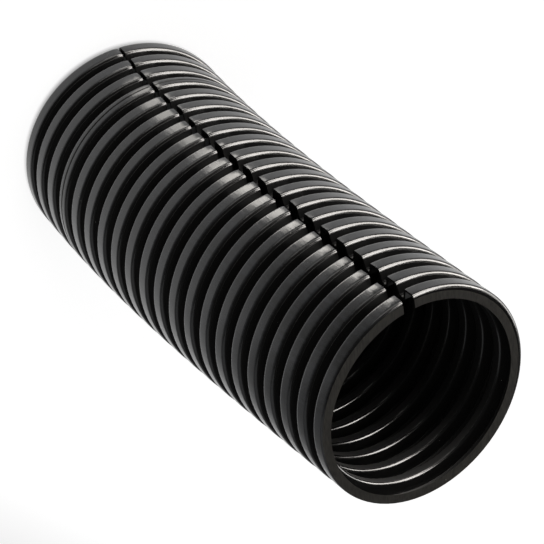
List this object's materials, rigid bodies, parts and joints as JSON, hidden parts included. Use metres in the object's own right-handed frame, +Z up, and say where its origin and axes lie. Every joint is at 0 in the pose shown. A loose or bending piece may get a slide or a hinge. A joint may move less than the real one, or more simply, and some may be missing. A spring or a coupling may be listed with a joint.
{
  "type": "split corrugated conduit",
  "caption": "Short offcut of thin-walled black corrugated conduit, slit along its length so that cables can be laid in, gently bowed.",
  "frame": {"origin": "centre of the bounding box in plan, on the floor that the offcut's square base mouth stands on", "axes": "+Z up out of the hand-cut top mouth, -Y the side with the slit, and the bow lies in the XZ plane and leans to -X going up"},
  "size_m": [0.0424, 0.0344, 0.0871],
  "materials": {
    "conduit_plastic": "semi-gloss moulded black plastic with a faint satin grain"
  },
  "bodies": {
    "root": {"conduit_tube": "conduit_plastic"}
  },
  "joints": []
}
